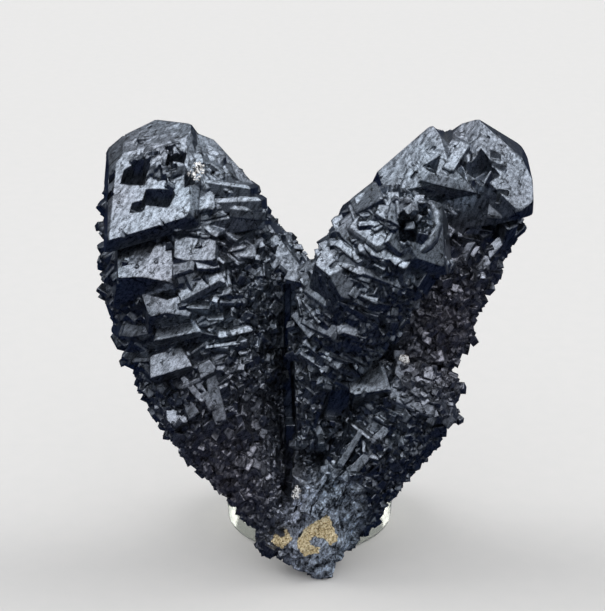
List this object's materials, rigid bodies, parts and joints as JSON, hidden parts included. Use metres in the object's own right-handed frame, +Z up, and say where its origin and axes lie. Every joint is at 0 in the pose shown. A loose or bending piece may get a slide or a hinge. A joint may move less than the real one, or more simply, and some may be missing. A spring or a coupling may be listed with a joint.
{
  "type": "bornite crystal group",
  "caption": "V-shaped group of stacked bornite crystals on a blunt root, standing in a small tapered puck of milky acrylic.",
  "frame": {"origin": "centre of the bounding box's underside, on the surface that the root tip and the puck stand on", "axes": "+X right and -Y front with the two lobes spread left and right, +Z up; Y is the thinnest way through"},
  "size_m": [0.0476, 0.0288, 0.0496],
  "materials": {
    "bornite": "tarnished blue-black metallic lustre, satin on the large faces and grainy low down",
    "acrylic": "milky translucent acrylic, greenish cream, softly polished"
  },
  "bodies": {
    "root": {"bornite_cluster": "bornite", "acrylic_puck": "acrylic"}
  },
  "joints": []
}
